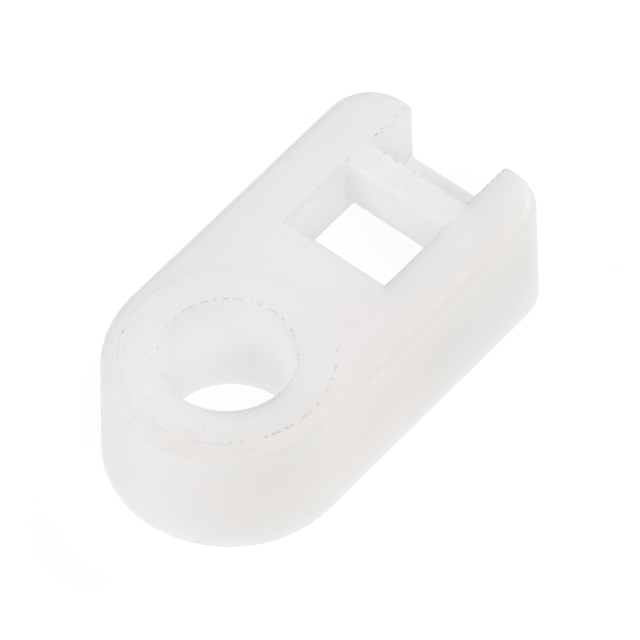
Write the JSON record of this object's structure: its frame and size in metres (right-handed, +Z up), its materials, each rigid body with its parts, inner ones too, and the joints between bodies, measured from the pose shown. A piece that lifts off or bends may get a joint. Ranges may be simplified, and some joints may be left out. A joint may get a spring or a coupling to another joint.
{
  "type": "cable tie mount",
  "caption": "Moulded nylon cable tie mount: a round end with a screw hole, and a square end with a slot, bridge and notch that a cable tie is threaded through.",
  "frame": {"origin": "axis of the screw hole, in the plane of the base", "axes": "+Z up along the screw hole, out of the base; +X from the screw hole to the tie end; +Y across the body"},
  "size_m": [0.0196, 0.0102, 0.0058],
  "materials": {
    "natural_nylon": "natural off-white nylon, satin as moulded, slightly translucent"
  },
  "bodies": {
    "root": {"mount_body": "natural_nylon"}
  },
  "joints": []
}
